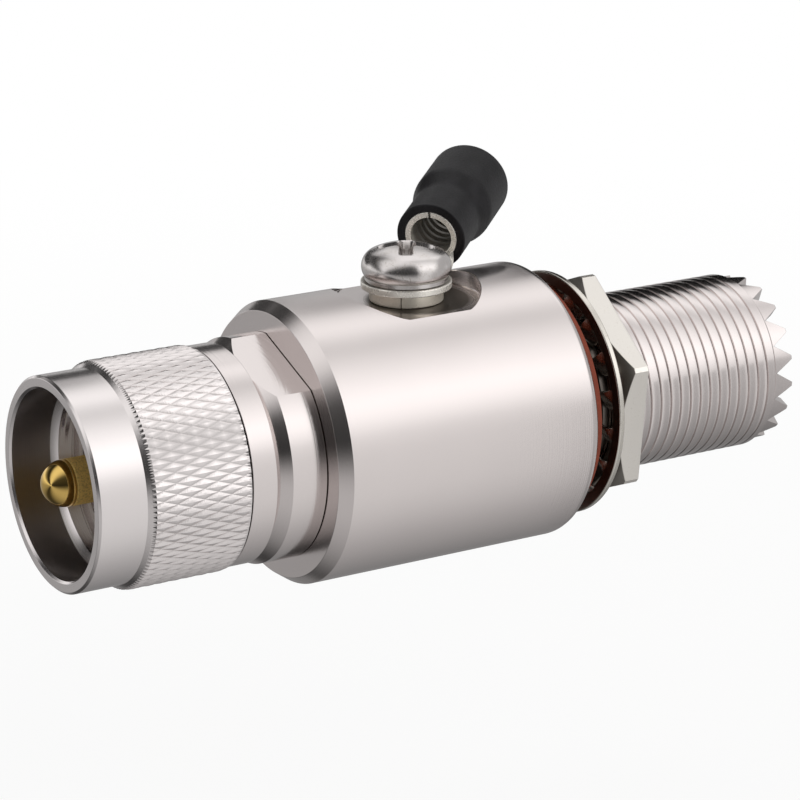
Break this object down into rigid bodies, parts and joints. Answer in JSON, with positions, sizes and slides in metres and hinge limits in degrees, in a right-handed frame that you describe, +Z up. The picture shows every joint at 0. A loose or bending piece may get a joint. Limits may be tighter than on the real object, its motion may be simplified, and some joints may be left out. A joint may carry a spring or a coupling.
{
  "type": "coaxial lightning arrestor",
  "caption": "Bulkhead coaxial lightning arrestor with a screw-on plug, a grounded gas-tube body with a screw terminal and ring lug, and a threaded jack.",
  "frame": {"origin": "centre of the body's rear face, which seats on the panel, on the connector axis", "axes": "+X along the connector axis from the plug to the jack, +Z up along the ground screw"},
  "size_m": [0.0708, 0.0269, 0.0324],
  "materials": {
    "nickel_satin": "nickel plate on brass, fine turned satin",
    "nickel_turned": "nickel plate on brass, turned and brushed",
    "nickel_bright": "bright nickel plate on brass, knurled band",
    "nickel_cream": "warm satin nickel plate on brass",
    "gold": "gold flash on brass, fine blasted shank",
    "fluoropolymer": "white fluoropolymer",
    "ceramic": "white alumina",
    "electrode": "nickel iron alloy",
    "silicone": "red-brown silicone rubber",
    "washer_steel": "nickel plated spring steel",
    "screw_steel": "nickel plated steel, slightly stained",
    "spring_steel": "plated spring steel, warm",
    "tin": "tin plated copper sheet",
    "vinyl": "black vinyl, satin"
  },
  "bodies": {
    "arrestor": {"body": "nickel_satin", "plug_hub": "nickel_turned", "outer_contact": "nickel_bright", "plug_pin": "gold", "plug_insulator": "fluoropolymer", "front_bead": "fluoropolymer", "centre_conductor": "gold", "rear_bead": "fluoropolymer", "jack_shell": "nickel_turned", "jack_contact": "gold", "jack_insulator": "fluoropolymer", "gas_tube_ceramic": "ceramic", "gas_tube_top": "electrode", "gas_tube_bottom": "electrode", "panel_gasket": "silicone"},
    "coupling_nut": {"coupling_nut": "nickel_bright"},
    "star_washer": {"star_washer": "washer_steel"},
    "jam_nut": {"jam_nut": "nickel_cream"},
    "spring_washer": {"spring_washer": "spring_steel"},
    "ground_screw": {"ground_screw": "screw_steel"},
    "ring_lug": {"ground_lug": "tin", "lug_sleeve": "vinyl"}
  },
  "joints": [
    {"name": "coupling_nut_spin", "type": "hinge", "parent": "arrestor", "child": "coupling_nut", "pos_m": [-0.0392, 0, 0], "axis": [1, 0, 0], "continuous": true},
    {"name": "jam_nut_travel", "type": "slide", "parent": "arrestor", "child": "star_washer", "axis": [1, 0, 0], "range_m": [-0.001, 0.015]},
    {"name": "jam_nut_turn", "type": "hinge", "parent": "star_washer", "child": "jam_nut", "pos_m": [0.0051, 0, 0], "axis": [1, 0, 0], "range_deg": [-340, 5100]},
    {"name": "ground_screw_travel", "type": "slide", "parent": "arrestor", "child": "spring_washer", "axis": [0, 0, 1], "range_m": [0, 0.0045]},
    {"name": "ground_screw_turn", "type": "hinge", "parent": "spring_washer", "child": "ground_screw", "pos_m": [-0.01215, 0, 0.01259], "axis": [0, 0, 1], "range_deg": [0, 2314]},
    {"name": "lug_swivel", "type": "hinge", "parent": "spring_washer", "child": "ring_lug", "pos_m": [-0.01215, 0, 0.0123], "axis": [0, 0, 1], "range_deg": [0, 98]}
  ],
  "couplings": [
    {"joint": "jam_nut_travel", "follows": "jam_nut_turn", "m_per_rad": 0.00016843},
    {"joint": "ground_screw_turn", "follows": "ground_screw_travel", "rad_per_m": 8976}
  ]
}
